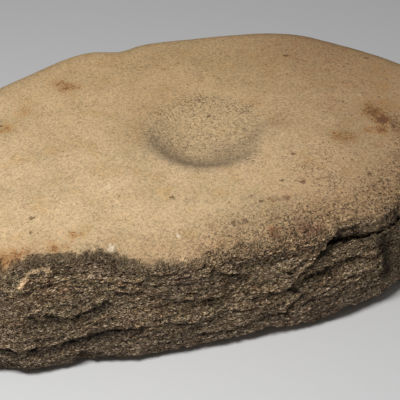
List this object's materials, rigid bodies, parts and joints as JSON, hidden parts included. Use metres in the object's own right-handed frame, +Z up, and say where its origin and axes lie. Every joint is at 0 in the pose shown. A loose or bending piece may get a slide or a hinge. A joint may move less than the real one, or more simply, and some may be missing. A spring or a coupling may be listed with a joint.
{
  "type": "nutting stone",
  "caption": "Flat sandstone slab with one shallow round pit pecked into its worn top, for holding nuts while they are cracked; split, bedded front face.",
  "frame": {"origin": "on the surface it rests on, under the middle of the stone", "axes": "+X along the long side, +Y away from the split front face, +Z up through the thickness; the pit opens upwards"},
  "size_m": [0.1986, 0.134, 0.0508],
  "materials": {
    "sandstone": "buff, worn smooth and faintly pitted on top with iron stains; rough, dark grey-brown and bedded on the split sides; no gloss"
  },
  "bodies": {
    "root": {"stone": "sandstone"}
  },
  "joints": []
}
